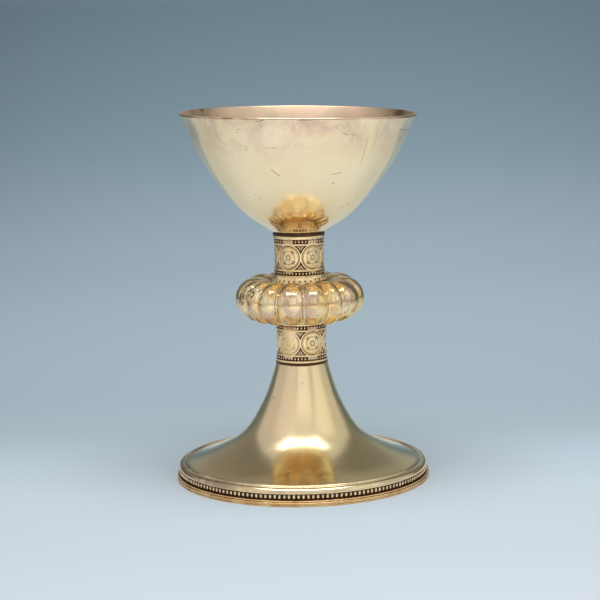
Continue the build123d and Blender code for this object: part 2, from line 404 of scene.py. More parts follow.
BOWL_SCRATCHES = [(14.2, 132.4, 15.1, 132.2, 0.2, 0.6), (-13.4, 148.2, -8.5, 148.1, 0.14, 0.5),
                  (-10.4, 148.9, -8.0, 147.4, 0.12, 0.4), (-10.9, 138.8, -7.4, 136.1, 0.17, 0.85),
                  (14.3, 136.2, 18.0, 136.9, 0.16, 0.65), (29.1, 150.9, 26.3, 139.8, 0.14, 0.5),
                  (42.9, 153.5, 47.4, 152.4, 0.16, 0.65), (-36.8, 156.7, -35.7, 154.0, 0.22, 0.4),
                  (-31.8, 153.6, -31.1, 153.0, 0.2, 0.4), (-30.2, 160.6, -26.4, 160.5, 0.22, 0.9),
                  (-21.9, 160.4, -19.0, 160.4, 0.16, 0.55), (-16.5, 159.3, -13.1, 159.9, 0.18, 0.6),
                  (0.4, 159.5, 5.9, 159.4, 0.12, 0.6), (18.5, 153.9, 20.9, 152.9, 0.24, 0.45),
                  (22.5, 153.2, 24.0, 152.6, 0.26, 0.45), (17.9, 156.6, 19.9, 155.8, 0.2, 0.25),
                  (17.3, 120.2, 19.0, 121.2, 0.2, 0.4), (28.2, 156.7, 27.9, 155.3, 0.2, 0.3)]


RIM_STAIN_DEPTH = 22 * MM


def bowl_gilding():
    """Pale, worn gilding: rose stain under the lip, golden clouds, pits and scratches. The inside is darkened
    by painted shade, most of all high on the back wall at left and right.
    """
    metal = Finish("bowl_gilding")
    colour = metal.mix(metal.patches(0.35, 0.7, 45, 5, 0.6), CREAM_GILT, PALE_GILT)
    warm = metal.patches(0.52, 0.72, 28, 6, 0.65, metal.stretched((1, 1, 1.6), (0.4, 0.2, 1.1)))
    colour = metal.tint(colour, warm, 0.35, (0.90, 0.68, 0.44))
    level = metal.axis("Z")
    near_rim = metal.between(level, rim_level - RIM_STAIN_DEPTH, rim_level - 1 * MM)
    stain = metal.times(metal.patches(0.38, 0.66, 60, 8, 0.68, None, 0.6), near_rim)
    inward = metal.field("inside")
    # Painted shade: the inside of the cup is darkened towards the dim inside gilt.
    colour = metal.tint(colour, inward, 0.85, SHADED_INSIDE_GILT)
    colour = metal.tint(colour, stain, 0.95, ROSE_TARNISH)
    # Painted shade inside the cup, high on the back wall at left and right, broken up by a cloud pattern.
    dark = metal.times(metal.field("inner_side_shade"), metal.patches(0.35, 0.6, 90, 8, 0.7))
    colour = metal.mix(dark, colour, BROWN_TARNISH)
    pits = metal.larger(metal.dots(260, 0.10, 0.04), metal.dots(130, 0.05, 0.03))
    marks = metal.larger(metal.scratches(70, 26, (1.2, 0.3, 2.1), 0.76),
                       metal.scratches(60, 30, (0.1, 1.5, 0.2), 0.76))
    worn = metal.larger(metal.times(pits, 0.7), metal.times(marks, 0.25))
    as_strokes = [(x, z, x, z, width, strength) for x, z, width, strength in BOWL_PITS]
    for x, z, end_x, end_z, width, strength in as_strokes + BOWL_SCRATCHES:
        mark = metal.times(metal.stroke((x, z), (end_x, end_z), width), strength)
        worn = metal.larger(worn, mark)
    colour = metal.mix(worn, colour, BROWN_TARNISH)
    rough = metal.scaled(metal.noise(120, 6, 0.6), 0.08, 0.09)
    rough = metal.scaled(stain, 0.16, rough)
    rough = metal.scaled(inward, 0.24, rough)
    height = metal.scaled(worn, -1.0, metal.times(metal.noise(900, 3, 0.6), 0.10))
    return metal.finish(colour, rough, height, 0.00012, 0.5)


def foot_gilding():
    """Brighter gilding with olive clouds, fine turned marks, pits, painted rose and straw reflections on the
    cone's sides, and a brown stain on the moulding that is partly painted reflection, strongest on the left.
    """
    metal = Finish("foot_gilding")
    colour = metal.mix(metal.patches(0.36, 0.66, 40, 6, 0.62), PALE_GILT, (0.84, 0.74, 0.45))
    grey = metal.patches(0.50, 0.72, 75, 8, 0.7, None, 0.8)
    flat = metal.between(metal.axis("Z"), foot_low + 16 * MM, foot_low + 5 * MM)
    colour = metal.mix(metal.times(grey, metal.scaled(flat, 0.45, 0.15)), colour,
                       (0.80, 0.72, 0.48))
    # Painted reflections: the cone turns rose on its left side and straw on its right.
    colour = metal.tint(colour, metal.field("left_rose_reflection"), 0.55, (0.82, 0.62, 0.44))
    colour = metal.tint(colour, metal.field("right_straw_reflection"), 0.6, (0.84, 0.70, 0.38))
    # The moulding's brown is partly stain and partly painted reflection, strongest on the left.
    stain = metal.times(metal.field("edge_stain_and_reflection"), metal.patches(0.30, 0.62, 70, 8, 0.7))
    colour = metal.mix(stain, colour, (0.40, 0.27, 0.19))
    pits = metal.larger(metal.dots(240, 0.14, 0.06), metal.dots(120, 0.08, 0.06))
    marks = metal.larger(metal.scratches(60, 22, (0.2, 1.3, 0.4), 0.74),
                       metal.scratches(55, 24, (1.4, 0.2, 1.0), 0.74))
    worn = metal.larger(metal.times(pits, 0.9), metal.times(marks, 0.4))
    colour = metal.mix(worn, colour, BROWN_TARNISH)
    rough = metal.scaled(metal.noise(110, 6, 0.62), 0.12, 0.19)
    rough = metal.scaled(flat, -0.12, rough)
    rough = metal.scaled(stain, 0.15, rough)
    height = metal.scaled(worn, -1.0, metal.times(metal.noise(700, 3, 0.6), 0.12))
    return metal.finish(colour, rough, height, 0.00012, 0.5)


def knop_gilding():
    """Burnished gilding with rose, brown and straw patches, dark in the creases between the lobes, and a
    painted highlight in a thin pale line beside each crease.
    """
    metal = Finish("knop_gilding")
    clouds = metal.patches(0.40, 0.60, 130, 6, 0.62, None, 0.5)
    colour = metal.mix(clouds, (0.93, 0.78, 0.50), (0.88, 0.62, 0.26))
    rose = metal.patches(0.46, 0.60, 95, 7, 0.66, metal.stretched((1, 1, 0.8), (0.5, 0.1, 0.7)), 0.9)
    colour = metal.tint(colour, rose, 0.75, (0.62, 0.43, 0.33))
    brown = metal.patches(0.54, 0.66, 170, 8, 0.7, None, 1.2)
    colour = metal.tint(colour, brown, 0.75, (0.30, 0.18, 0.09))
    crease = metal.field("crease")
    colour = metal.mix(metal.times(metal.between(crease, 0.90, 1.0), 0.85), colour, BROWN_TARNISH)
    bruised = metal.times(metal.field("bruise"), metal.patches(0.40, 0.58, 300, 6, 0.7))
    colour = metal.mix(bruised, colour, (0.16, 0.09, 0.05))
    # Painted highlight: a thin pale line just beside each crease, on the lobe that follows it.
    crease_highlight = metal.times(metal.between(crease, -0.90, -0.95), metal.between(crease, -1.01, -0.97))
    colour = metal.mix(crease_highlight, colour, (1.0, 0.93, 0.80))
    pits = metal.dots(260, 0.14, 0.06)
    colour = metal.mix(pits, colour, BROWN_TARNISH)
    rough = metal.scaled(metal.noise(160, 6, 0.6), 0.12, 0.08)
    rough = metal.scaled(brown, 0.12, rough)
    height = metal.scaled(pits, -1.0, metal.times(metal.noise(260, 4, 0.6), 0.35))
    return metal.finish(colour, rough, height, 0.00016, 0.5)


def cut_gilding(name, pale, warm, dark_low=0.38, dark_high=0.80):
    """Gilding whose cuts and gaps hold dark tarnish. The mesh says how deep each point lies."""
    metal = Finish(name)
    colour = metal.mix(metal.patches(0.38, 0.64, 170, 6, 0.65), pale, warm)
    rose = metal.patches(0.52, 0.70, 110, 7, 0.7, None, 0.8)
    colour = metal.tint(colour, rose, 0.5, (0.62, 0.47, 0.37))
    middle = metal.between(metal.field("depth"), 0.12, 0.32)
    colour = metal.tint(colour, middle, 0.65, (0.52, 0.39, 0.31))
    grime = metal.scaled(metal.noise(420, 6, 0.7), 0.4, -0.2)
    deep = metal.between(metal.math("ADD", metal.field("depth"), grime), dark_low, dark_high)
    colour = metal.mix(deep, colour, (0.075, 0.040, 0.022))
    rough = metal.scaled(deep, 0.35, 0.24)
    height = metal.noise(900, 4, 0.6)
    return metal.finish(colour, rough, height, 0.00006, 0.5)


def rubbed_gilding(name, pale, warm, stain=0.35):
    """Plain wires, flanges and collars: gilding worn pale on top, with brown specks."""
    metal = Finish(name)
    colour = metal.mix(metal.patches(0.36, 0.64, 150, 6, 0.65), pale, warm)
    brown = metal.patches(0.54, 0.72, 260, 8, 0.7, None, 0.6)
    colour = metal.mix(metal.times(brown, stain), colour, BROWN_TARNISH)
    rough = metal.scaled(metal.noise(300, 5, 0.6), 0.18, 0.14)
    return metal.finish(colour, rough, metal.noise(800, 4, 0.6), 0.00008, 0.5)


def dark_tarnish_and_shade():
    """Silver that has gone dark brown, with a little metal showing through; in the joints and gaps where it
    is used, its darkness is partly painted shade.
    """
    metal = Finish("dark_tarnish_and_shade", metallic=0.85)
    bare = metal.patches(0.55, 0.75, 240, 8, 0.7)
    colour = metal.mix(metal.times(bare, 0.5), (0.085, 0.045, 0.025), (0.42, 0.28, 0.15))
    rough = metal.scaled(metal.noise(300, 5, 0.6), 0.25, 0.25)
    return metal.finish(colour, rough, metal.noise(700, 4, 0.6), 0.0001, 0.5)


def plain_silver():
    """Unpolished silver alloy inside the stem, with file marks and a grey bloom."""
    metal = Finish("plain_silver")
    bloom = metal.noise(120, 7, 0.68)
    colour = metal.mix(metal.between(bloom, 0.35, 0.68), (0.62, 0.59, 0.53), (0.28, 0.25, 0.21))
    filed = metal.noise(1.0, 3, 0.5, metal.stretched((1500, 120, 1500), (0.3, 0.2, 0.6)))
    rough = metal.scaled(bloom, 0.3, 0.25)
    return metal.finish(colour, rough, filed, 0.00008, 0.6)


BOWL_GILDING = bowl_gilding()
FOOT_GILDING = foot_gilding()
KNOP_GILDING = knop_gilding()
ENGRAVED_GILDING = cut_gilding("engraved_gilding", (0.95, 0.77, 0.45), (0.88, 0.64, 0.33))
PEARL_GILDING = cut_gilding("pearl_gilding", (0.90, 0.72, 0.46), (0.70, 0.50, 0.31), 0.15, 0.60)
RIM_GILDING = rubbed_gilding("rim_gilding", (0.90, 0.62, 0.31), (0.74, 0.44, 0.18), 0.6)
STEM_GILDING = rubbed_gilding("stem_gilding", (0.95, 0.78, 0.49), (0.88, 0.66, 0.36), 0.45)
DARK_TARNISH_AND_SHADE = dark_tarnish_and_shade()
PLAIN_SILVER = plain_silver()

# -------------------------------- bowl

BOWL_STEPS = 320
BOWL_WALL = 1.0 * MM
LIP_ROUNDING = 0.45 * MM
# The outline as (share of the rim radius, share of the height), from the boss up to the lip.
BOWL_OUTLINE = [(0, 0), (0.12, 0.001), (0.219, 0.013), (0.27, 0.042), (0.408, 0.128), (0.624, 0.346),
                (0.812, 0.615), (0.908, 0.80), (0.958, 0.92), (1, 1)]
BOWL_LIP_SLOPE = (0.49, 0.87)
BOWL_LEAN = math.radians(1.1)
BOWL_SHIFT = -0.5 * MM
# How far the lip rises and falls, and the painted shade inside as (angle round the stem, half width) in
# radians.
LIP_WAVE = 0.25 * MM
LIP_UNEVENNESS = 0.10 * MM
BOWL_UNEVENNESS = 0.12 * MM
BOWL_INNER_SHADES = [(1.98, 0.24), (-2.12, 0.16)]


def make_bowl():
    """A raised cup: its section is the outer outline, a rounded lip and the same outline moved in.

    The section is turned round the stem. The cup then leans a little to the right over its boss,
    and its lip rises and falls by a slow wave, as a cup that has been used for centuries does."""
    rim = reach("bowl")
    outer = [(out * rim, bowl_low + up * (rim_level - bowl_low)) for out, up in BOWL_OUTLINE]
    outside = smooth_line(outer, 400, start=(1, 0), end=BOWL_LIP_SLOPE)
    inside = moved_sideways(outside, BOWL_WALL)[::-1]
    inside[-1] = (0, bowl_low + BOWL_WALL)
    slope = math.degrees(math.atan2(*(outside[-1] - outside[-2])[::-1]))
    upwards = np.array([math.cos(math.radians(slope)), math.sin(math.radians(slope))])
    centre = (outside[-1] + inside[0]) / 2 - LIP_ROUNDING * upwards
    lip = arc(centre, BOWL_WALL / 2, slope - 90, slope + 90, 14)
    outside = respaced(outside[outside[:, 1] < centre[1]], 104)
    inside = respaced(inside[inside[:, 1] < centre[1]], 84)
    section = np.vstack([outside, lip[1:-1], inside])
    inner_share = np.concatenate([np.zeros(len(outside) + 6), np.ones(len(inside) + 6)])
    angle = azimuths(BOWL_STEPS)[:, None]
    radius, level = swept(section, angle)
    height_share = (level - bowl_low) / (rim_level - bowl_low)
    level = level + height_share**3 * LIP_WAVE * np.cos(2 * angle)
    level = level + height_share**6 * wander(angle, LIP_UNEVENNESS, (3, 5, 7, 11), 4)
    radius = radius + height_share * wander(angle, BOWL_UNEVENNESS, (2, 3, 5), 5)
    points = turned(radius, level, angle)
    x, z = points[..., 0].copy(), points[..., 2] - bowl_low
    points[..., 0] = x * math.cos(BOWL_LEAN) + z * math.sin(BOWL_LEAN) + BOWL_SHIFT
    points[..., 2] = bowl_low + z * math.cos(BOWL_LEAN) - x * math.sin(BOWL_LEAN)
    # Painted shade: the inside of the cup is darkened high on the back wall, towards the left and the right.
    at_sides = np.maximum(*[side_hill(angle, centre, width) for centre, width in BOWL_INNER_SHADES])
    shadow = at_sides * ramp(height_share, 0.72, 0.86) * inner_share[None, :]
    fields = {"inside": inner_share[None, :] + 0 * angle, "inner_side_shade": shadow}
    return cup_of_grid("bowl_cup", points, BOWL_GILDING, ["bowl"], fields)


# -------------------------------- knop

KNOP_STEPS = 720
KNOP_ROWS = 116
KNOP_LOBE_WIDTHS = [18.0, 15.3, 19.2, 26.9, 24.7, 14.8, 33.1, 29.0, 28.0, 31.0, 29.0, 30.0, 28.0, 33.0]
KNOP_FIRST_CREASE = -76.0
KNOP_RING_RADIUS = 18.9 * MM
KNOP_TUBE = 9.35 * MM
KNOP_NECK = 11.5 * MM
CREASE_DEPTH = 2.3 * MM
CREASE_POWER = 2.6
KNOP_WALL = 0.9 * MM
KNOP_RIPPLE = 0.05 * MM
CRUMPLE_TURN = math.radians(-58)
CRUMPLE_DEPTH = 0.32 * MM
# Dents: angle round the stem and angle up the lobe in degrees, width and depth in millimetres.
KNOP_DENTS = [(-57, 38, 1.9, 0.95), (-62, 18, 1.5, 0.8), (-50, 30, 1.3, 0.7), (-66, 33, 1.0, 0.5),
              (-80, -6, 0.7, 0.35), (57, -22, 1.2, 0.4), (37, -30, 1.0, 0.3), (-38, 24, 1.0, 0.35),
              (74, 8, 1.5, 0.25), (-12, -34, 1.6, 0.2), (20, 40, 1.4, 0.2), (140, 20, 1.8, 0.5),
              (-150, -15, 1.5, 0.4), (170, 35, 1.2, 0.3)]


def make_knop():
    """A ring-shaped tube squeezed into fourteen uneven lobes.

    Within a lobe, the distance u from its middle runs from -1 to 1. The skin lies inside the plain
    tube by the crease depth times the size of u to the crease power, which rounds the lobe and
    leaves a sharp crease. The crease fades towards the neck. Dents are smooth hills pushed in, and
    one side is crumpled by short waves."""
    widths = np.radians(KNOP_LOBE_WIDTHS)
    edges = np.radians(KNOP_FIRST_CREASE) + np.concatenate([[0.0], np.cumsum(widths)])
    edges[-1] = edges[0] + TURN
    angle = azimuths(KNOP_STEPS)
    turned_on = (angle - edges[0]) % TURN + edges[0]
    lobe = np.clip(np.searchsorted(edges, turned_on, side="right") - 1, 0, len(widths) - 1)
    middle = (edges[lobe] + edges[lobe + 1]) / 2
    u = (turned_on - middle) / ((edges[lobe + 1] - edges[lobe]) / 2)
    random = np.random.default_rng(11)
    swell = random.uniform(-0.25, 0.25, len(widths))[lobe] * MM
    tilt = random.uniform(-0.10, 0.10, len(widths))[lobe]
    rounding = np.abs(u) ** CREASE_POWER
    neck_angle = math.degrees(math.acos((KNOP_RING_RADIUS - KNOP_NECK) / KNOP_TUBE))
    swing = np.radians(np.linspace(180 - neck_angle, neck_angle - 180, KNOP_ROWS))[None, :]
    outwards = ramp(np.cos(swing), -0.75, 0.55)
    width_share = ((edges[lobe + 1] - edges[lobe]) / widths.mean())[:, None]
    depth = CREASE_DEPTH * (0.12 + 0.88 * outwards) * np.clip(width_share, 0.7, 1.1)
    lean = 1 + 0.5 * tilt[:, None] * np.sin(swing)
    inset = rounding[:, None] * depth * lean - swell[:, None] * outwards * (1 - rounding[:, None])
    around_mm = KNOP_RING_RADIUS + KNOP_TUBE * np.cos(swing)
    bruise = np.zeros_like(inset)
    for turn_deg, up_deg, size, deep in KNOP_DENTS:
        off_side = angle_between(angle, math.radians(turn_deg))[:, None] * around_mm
        off_up = (swing - math.radians(up_deg)) * KNOP_TUBE
        away = np.sqrt(off_side**2 + off_up**2) / (size * MM)
        inset = inset + deep * MM * np.exp(-(away**2.6))
        bruise = np.maximum(bruise, deep * np.exp(-(np.abs(away - 0.75) ** 2) * 9))
    crumple = side_hill(angle, CRUMPLE_TURN, 0.20)[:, None] * bump(swing, 0.5, 0.42)
    inset = inset + CRUMPLE_DEPTH * crumple * np.sin(angle[:, None] * 62 + swing * 9) * np.sin(swing * 13 + 1)
    ripple = wander(angle, 1.0, (19, 31, 47), 8)[:, None] * np.sin(swing * 5 + 2)
    inset = inset + KNOP_RIPPLE * ripple
    tube = KNOP_TUBE - inset
    radius = KNOP_RING_RADIUS + tube * np.cos(swing)
    level = knop_middle + tube * np.sin(swing)
    rows = 6
    inner_level = np.linspace(level[:, -1], level[:, 0], rows + 2, axis=1)[:, 1:-1]
    inner_radius = np.full_like(inner_level, KNOP_NECK - KNOP_WALL)
    angle = angle[:, None]
    skin = turned(radius, level, angle)
    bore = turned(inner_radius, inner_level, angle)
    across = u[:, None] * (0.4 + 0.6 * ramp(outwards, 0.1, 0.6))
    crease = np.concatenate([across, np.ones((KNOP_STEPS, rows))], axis=1)
    bruise = np.concatenate([np.clip(bruise * 1.6, 0, 1), np.zeros((KNOP_STEPS, rows))], axis=1)
    points = np.concatenate([skin, bore], axis=1)
    return ring_of_grid("knop_lobes", points, KNOP_GILDING,
                        ["knop_upper_shell", "knop_lower_shell"], {"crease": crease, "bruise": bruise})


PETALS = 30
COLLAR_LENGTH = 3.6 * MM
PETAL_CUT = 0.45 * MM
PUNCH_DEPTH = 0.22 * MM
SKIRT_EDGE = 0.25 * MM
# The collar's bore, its narrow radius, and how much the skirt adds evenly and as it flares.
COLLAR_BORE, COLLAR_NARROW, COLLAR_SLANT, COLLAR_FLARE = 9.8 * MM, 11.2 * MM, 0.15 * MM, 1.55 * MM
# The stretch that is broken off, as a window in degrees round the stem, and how much of it is gone.
BROKEN_STRETCH, BROKEN_LENGTH = (28, 34, 74, 84), 1.7 * MM


def make_knop_collar(name, node, upwards, punched):
    """A collar that grips the knop: a flaring skirt.

    The section runs from the collar's narrow end out along the skirt and back up its bore. The
    punched collar's skirt ends at a level that rises and falls as a triangle wave, which cuts it into
    small petals. A row of triangles is punched in it, and one stretch of it has broken away."""
    low, high = span(node)
    narrow = high if upwards else low
    sign = 1 if upwards else -1
    steps, rows = 600, 30
    angle = azimuths(steps)[:, None]
    wave = np.abs((angle * PETALS / TURN) % 1 * 2 - 1)
    share = np.linspace(0, 1, rows)[None, :]
    broken = window(angle, *np.radians(BROKEN_STRETCH))
    length = COLLAR_LENGTH + (PETAL_CUT * wave - BROKEN_LENGTH * broken if punched else 0 * wave)
    level = narrow - sign * share * length
    radius = COLLAR_NARROW + COLLAR_SLANT * share + COLLAR_FLARE * share**1.7
    beside = np.abs((angle * PETALS / TURN + 0.5) % 1 - 0.5)
    punch = np.zeros_like(level)
    if punched:
        inside_triangle = ramp(0.34 * (1 - (share - 0.42) / 0.38) - beside, 0.0, 0.10)
        punch = inside_triangle * window(share, 0.40, 0.46, 0.78, 0.84)
    radius = radius - PUNCH_DEPTH * punch - ramp(share, 0.9, 1.0) * SKIRT_EDGE
    back = np.full((steps, 3), COLLAR_BORE)
    back_level = narrow - sign * np.array([[1.0, 0.5, 0.0]]) * length
    radius = np.concatenate([radius, back], axis=1)
    level = np.concatenate([level, back_level + 0 * back], axis=1)
    depth = np.maximum(0.62 * punch, 0.5 * ramp(share, 0.94, 1.0))
    depth = np.concatenate([depth, np.ones((steps, 3))], axis=1)
    return ring_of_grid(name, turned(radius, level, angle), ENGRAVED_GILDING, [node],
                        {"depth": depth})


# -------------------------------- stem sleeves and their rings

SLEEVE_STEPS = 792
SLEEVE_ROWS = 104
ROUNDELS = 6
ROUNDEL_TURNS = {"upper_stem": math.radians(3.4), "lower_stem": math.radians(-3.0)}
CUT_DEPTH = 0.34 * MM
LEAF_DROP = 0.10
SLEEVE_WALL = 0.8 * MM
SMEAR_TURN = math.radians(-28)
SMEAR_HEIGHT = 0.30 * MM
LOWER_STEM_SHIFT = 0.35 * MM


def line_at(value, centre, half_width):
    """1 on a line of the given half width, fading over the same distance again."""
    return 1 - ramp(np.abs(value - centre), half_width * 0.6, half_width * 1.5)


def roundel_relief(across, up, half_height, phase):
    """The height of the engraving, in millimetres, at points measured from a roundel's centre.

    A raised ring stands at the roundel's edge, with a thin cut and a fine ring inside it. In the
    field a rosette of four petals is cut round a dimpled boss, with a pit between each two petals.
    Outside the ring the ground is sunk, but for a three-lobed leaf above and below."""
    away = np.hypot(across, up)
    turn = np.arctan2(up, across) + phase
    edge = half_height + 0.22
    ring = line_at(away, edge, 0.26)
    ground = ramp(away, edge + 0.18, edge + 0.42)
    cut = line_at(away, edge - 0.52, 0.13)
    inner_ring = line_at(away, edge - 0.80, 0.13)
    inner_cut = line_at(away, edge - 1.05, 0.12)
    petal_edge = 2.35 + 0.62 * np.abs(np.cos(2 * turn)) ** 0.6
    petal_cut = line_at(away, petal_edge, 0.13) * ramp(np.abs(np.cos(2 * turn)), 0.05, 0.25)
    between_petals = line_at(np.abs(np.sin(2 * turn)), 1.0, 0.035) * window(away, 0.95, 1.2, 2.3, 2.6)
    pit = ramp(np.abs(np.sin(2 * turn)), 0.78, 0.93) * window(away, 2.75, 2.95, 3.5, 3.75)
    vein = line_at(np.abs(np.cos(2 * turn)), 1.0, 0.008) * window(away, 1.3, 1.5, 2.1, 2.3)
    boss = ramp(-away, -0.75, -0.45) - 0.8 * ramp(-away, -0.35, -0.15)
    boss_cut = line_at(away, 0.92, 0.14)
    deep = np.maximum.reduce([cut * 0.85, inner_cut * 0.50, petal_cut * 0.50, between_petals * 0.25,
                              pit * 0.55, boss_cut * 0.70, vein * 0.2])
    return 0.14 * ring + 0.04 * inner_ring + 0.06 * boss - 0.28 * deep, ring, ground


def leaf_relief(across, up, half_height, half_pitch):
    """1 on the leaf that fills each spandrel, set in from the roundels and from the border.

    Two cuts slant out from its middle line, and one runs down it."""
    away = np.hypot(across, up)
    side = half_pitch - np.abs(across)
    rise = half_height - np.abs(up)
    leaf = ramp(away, half_height + 0.85, half_height + 1.10) * ramp(rise, 0.30, 0.52)
    cuts = np.maximum(line_at(side, 0.0, 0.13), line_at(side - 0.55 * rise, 0.18, 0.12))
    return leaf * (1 - 0.75 * cuts)


def make_sleeve(name, node, low, high, worn_at, smear, turn):
    """A sleeve with six engraved roundels between its inner wires, plain behind the rings.

    Where there is a smear, solder has run down over the engraving and has filled it."""
    bottom, top = span(node)
    angle = azimuths(SLEEVE_STEPS)[:, None]
    level = np.linspace(low, high, SLEEVE_ROWS)[None, :]
    half_height = (high - low) / 2 / MM
    pitch = TURN * sleeve_reach / ROUNDELS / MM
    along = ((angle - turn) * sleeve_reach / MM) % pitch - pitch / 2 + 0 * level
    up = (level - (low + high) / 2) / MM + 0 * angle
    number = np.floor(((angle - turn) % TURN) / (TURN / ROUNDELS)) + 0 * level
    phase = 0.10 * np.sin(number * 2.1)
    relief, ring, ground = roundel_relief(along, up, half_height, phase)
    leaf = leaf_relief(along, up, half_height, pitch / 2)
    border = line_at(half_height - np.abs(up), 0.0, 0.22)
    sunk = ground * (1 - leaf) * (1 - border)
    relief = relief * (1 - ground * (1 - ring)) - CUT_DEPTH / MM * sunk
    on_leaf = leaf * ground > 0.3
    relief = np.where(on_leaf, relief - LEAF_DROP, relief)
    random = np.random.default_rng(21)
    rub = 1 - 0.35 * side_hill(angle, worn_at, 0.5)
    chatter = wander(angle, 0.02, (23, 41, 67, 89), 3) + 0 * level
    relief = relief * rub + chatter * random.uniform(0.8, 1.2)
    radius = sleeve_reach + relief * MM
    depth = np.clip(-relief / 0.24, 0, 1) * rub
    depth = np.where(on_leaf, 0.30 + 0.3 * (1 - leaf), depth)
    drop = smear * side_hill(angle, SMEAR_TURN, 0.17 + 0.10 * ramp(up, 2.0, 5.0)) * ramp(up, -4.0, 4.5)
    depth = depth * (1 - 0.95 * drop)
    radius = radius + drop * (SMEAR_HEIGHT - relief * MM)
    wall = sleeve_reach - SLEEVE_WALL
    plain = sleeve_reach - 0.02 * MM
    plain_levels = np.array([[top, top, bottom, bottom]])
    plain_radii = np.array([[plain, wall, wall, plain]])
    radius = np.concatenate([radius, plain_radii + 0 * angle], axis=1)
    level = np.concatenate([level + 0 * angle, plain_levels + 0 * angle], axis=1)
    depth = np.concatenate([depth, np.ones((SLEEVE_STEPS, 4))], axis=1)
    return ring_of_grid(name, turned(radius, level, angle), ENGRAVED_GILDING, [node],
                        {"depth": depth})


BAND_STEPS = 288
BAND_ROUNDNESS = 0.55


def make_band(name, node, material, bulge, waver, inner, seed):
    """A plain ring, slightly uneven round its length, with a bulging outer face.

    The face is half an oval whose cosine is raised to the band's roundness."""
    low, high = span(node)
    outer = reach(node)
    half = (high - low) / 2
    swing = np.radians(np.linspace(-90, 90, 15))
    round_out = np.sign(np.cos(swing)) * np.abs(np.cos(swing)) ** BAND_ROUNDNESS
    depth = min(half * bulge * 2, outer - inner)
    section = np.stack([outer - depth + depth * round_out, (low + high) / 2 + half * np.sin(swing)], axis=1)
    section = np.vstack([section, [(inner, high), (inner, low)]])
    angle = azimuths(BAND_STEPS)[:, None]
    free = (section[None, :, 0] > inner + 0.01 * MM) * 1.0
    radius = section[None, :, 0] + free * wander(angle, waver * MM, (3, 7, 13, 29), seed)
    level = section[None, :, 1] + free * wander(angle, waver * 0.5 * MM, (2, 5, 17), seed + 40)
    return ring_of_grid(name, turned(radius, level, angle), material, [node])


STRIP_STEPS = 240
PEARL_POINTS = 7
STRIP_THICKNESS = 0.1 * MM


def make_pearls(name, node, count, seat, width, height, proud, backing_depth, crushed, seed):
    """A row of pillow-shaped pearls soldered on a thin strip.

    Each pearl is a grid of small squares bent to a pillow: its rise over the strip is the fourth
    root of the product of 1 minus the fourth powers of its two half-way coordinates. Crushed
    stretches are flatter. The strip behind them is a flat ring."""
    low, high = span(node)
    middle = (low + high) / 2
    inner = seat - STRIP_THICKNESS
    random = np.random.default_rng(seed)
    side = np.linspace(-1, 1, PEARL_POINTS)
    p, q = np.meshgrid(side, side, indexing="ij")
    rise = ((1 - p**4) * (1 - q**4)) ** 0.25
    centres = np.arange(count) * (TURN / count) + random.normal(0, 0.02, count) * (TURN / count)
    sizes = random.uniform(0.9, 1.1, count)
    tall = random.uniform(0.92, 1.06, count)
    proudness = random.uniform(0.82, 1.0, count)
    for where, spread in crushed:
        proudness = proudness * (1 - 0.75 * side_hill(centres, math.radians(where), spread))
    narrow = 0.80 + 0.20 * rise
    angle = centres[:, None, None] + sizes[:, None, None] * (p * narrow) * (width / 2 / seat)
    level = middle + tall[:, None, None] * (q * narrow) * (height / 2)
    radius = seat + backing_depth + (rise * proud)[None] * proudness[:, None, None] - 0.05 * MM * (rise == 0)
    tops = turned(radius, level, angle).reshape(count, -1, 3)
    depth = np.clip(1.2 - rise[None] * 1.5, 0, 1) + 0 * radius
    rows = PEARL_POINTS
    rim = np.concatenate([np.arange(rows), np.arange(1, rows) * rows + rows - 1,
                          (rows - 1) * rows + np.arange(rows - 2, -1, -1), np.arange(rows - 2, 0, -1) * rows])
    per = rows * rows + 1
    base = turned(np.full(count, inner), np.full(count, middle), centres)[:, None, :]
    pearls = np.concatenate([tops, base], axis=1).reshape(-1, 3)
    depth = np.concatenate([depth.reshape(count, -1), np.ones((count, 1))], axis=1).ravel()
    fan = np.stack([np.roll(rim, -1), rim, np.full(len(rim), per - 1)], -1)
    one = np.concatenate([halved(grid_faces(rows, rows, False, False)), fan])
    shifts = (np.arange(count) * per)[:, None, None]
    triangles = (one[None] + shifts).reshape(-1, 3)
    turn = azimuths(STRIP_STEPS)[:, None]
    outer = seat + backing_depth
    section = np.array([(outer, low), (outer, high), (inner, high), (inner, low)])
    strip = turned(*swept(section, turn), turn).reshape(-1, 3)
    quads = grid_faces(STRIP_STEPS, 4, True, True)[:, ::-1] + len(pearls)
    both = np.concatenate([triangles, halved(quads)])
    fields = {"depth": np.concatenate([depth, np.ones(len(strip))])}
    return build_mesh(name, np.vstack([pearls, strip]), both, PEARL_GILDING, [node], fields)


STEM_PEARLS = 46
# A pearl's width, height and rise over its strip, and the strip's rise over its seat.
STEM_PEARL_SIZE = (0.70 * MM, 1.45 * MM, 0.30 * MM, 0.04 * MM)
FOOT_PEARLS = 170
FOOT_PEARL_SIZE = (1.25 * MM, 2.05 * MM, 0.55 * MM, 0.10 * MM)


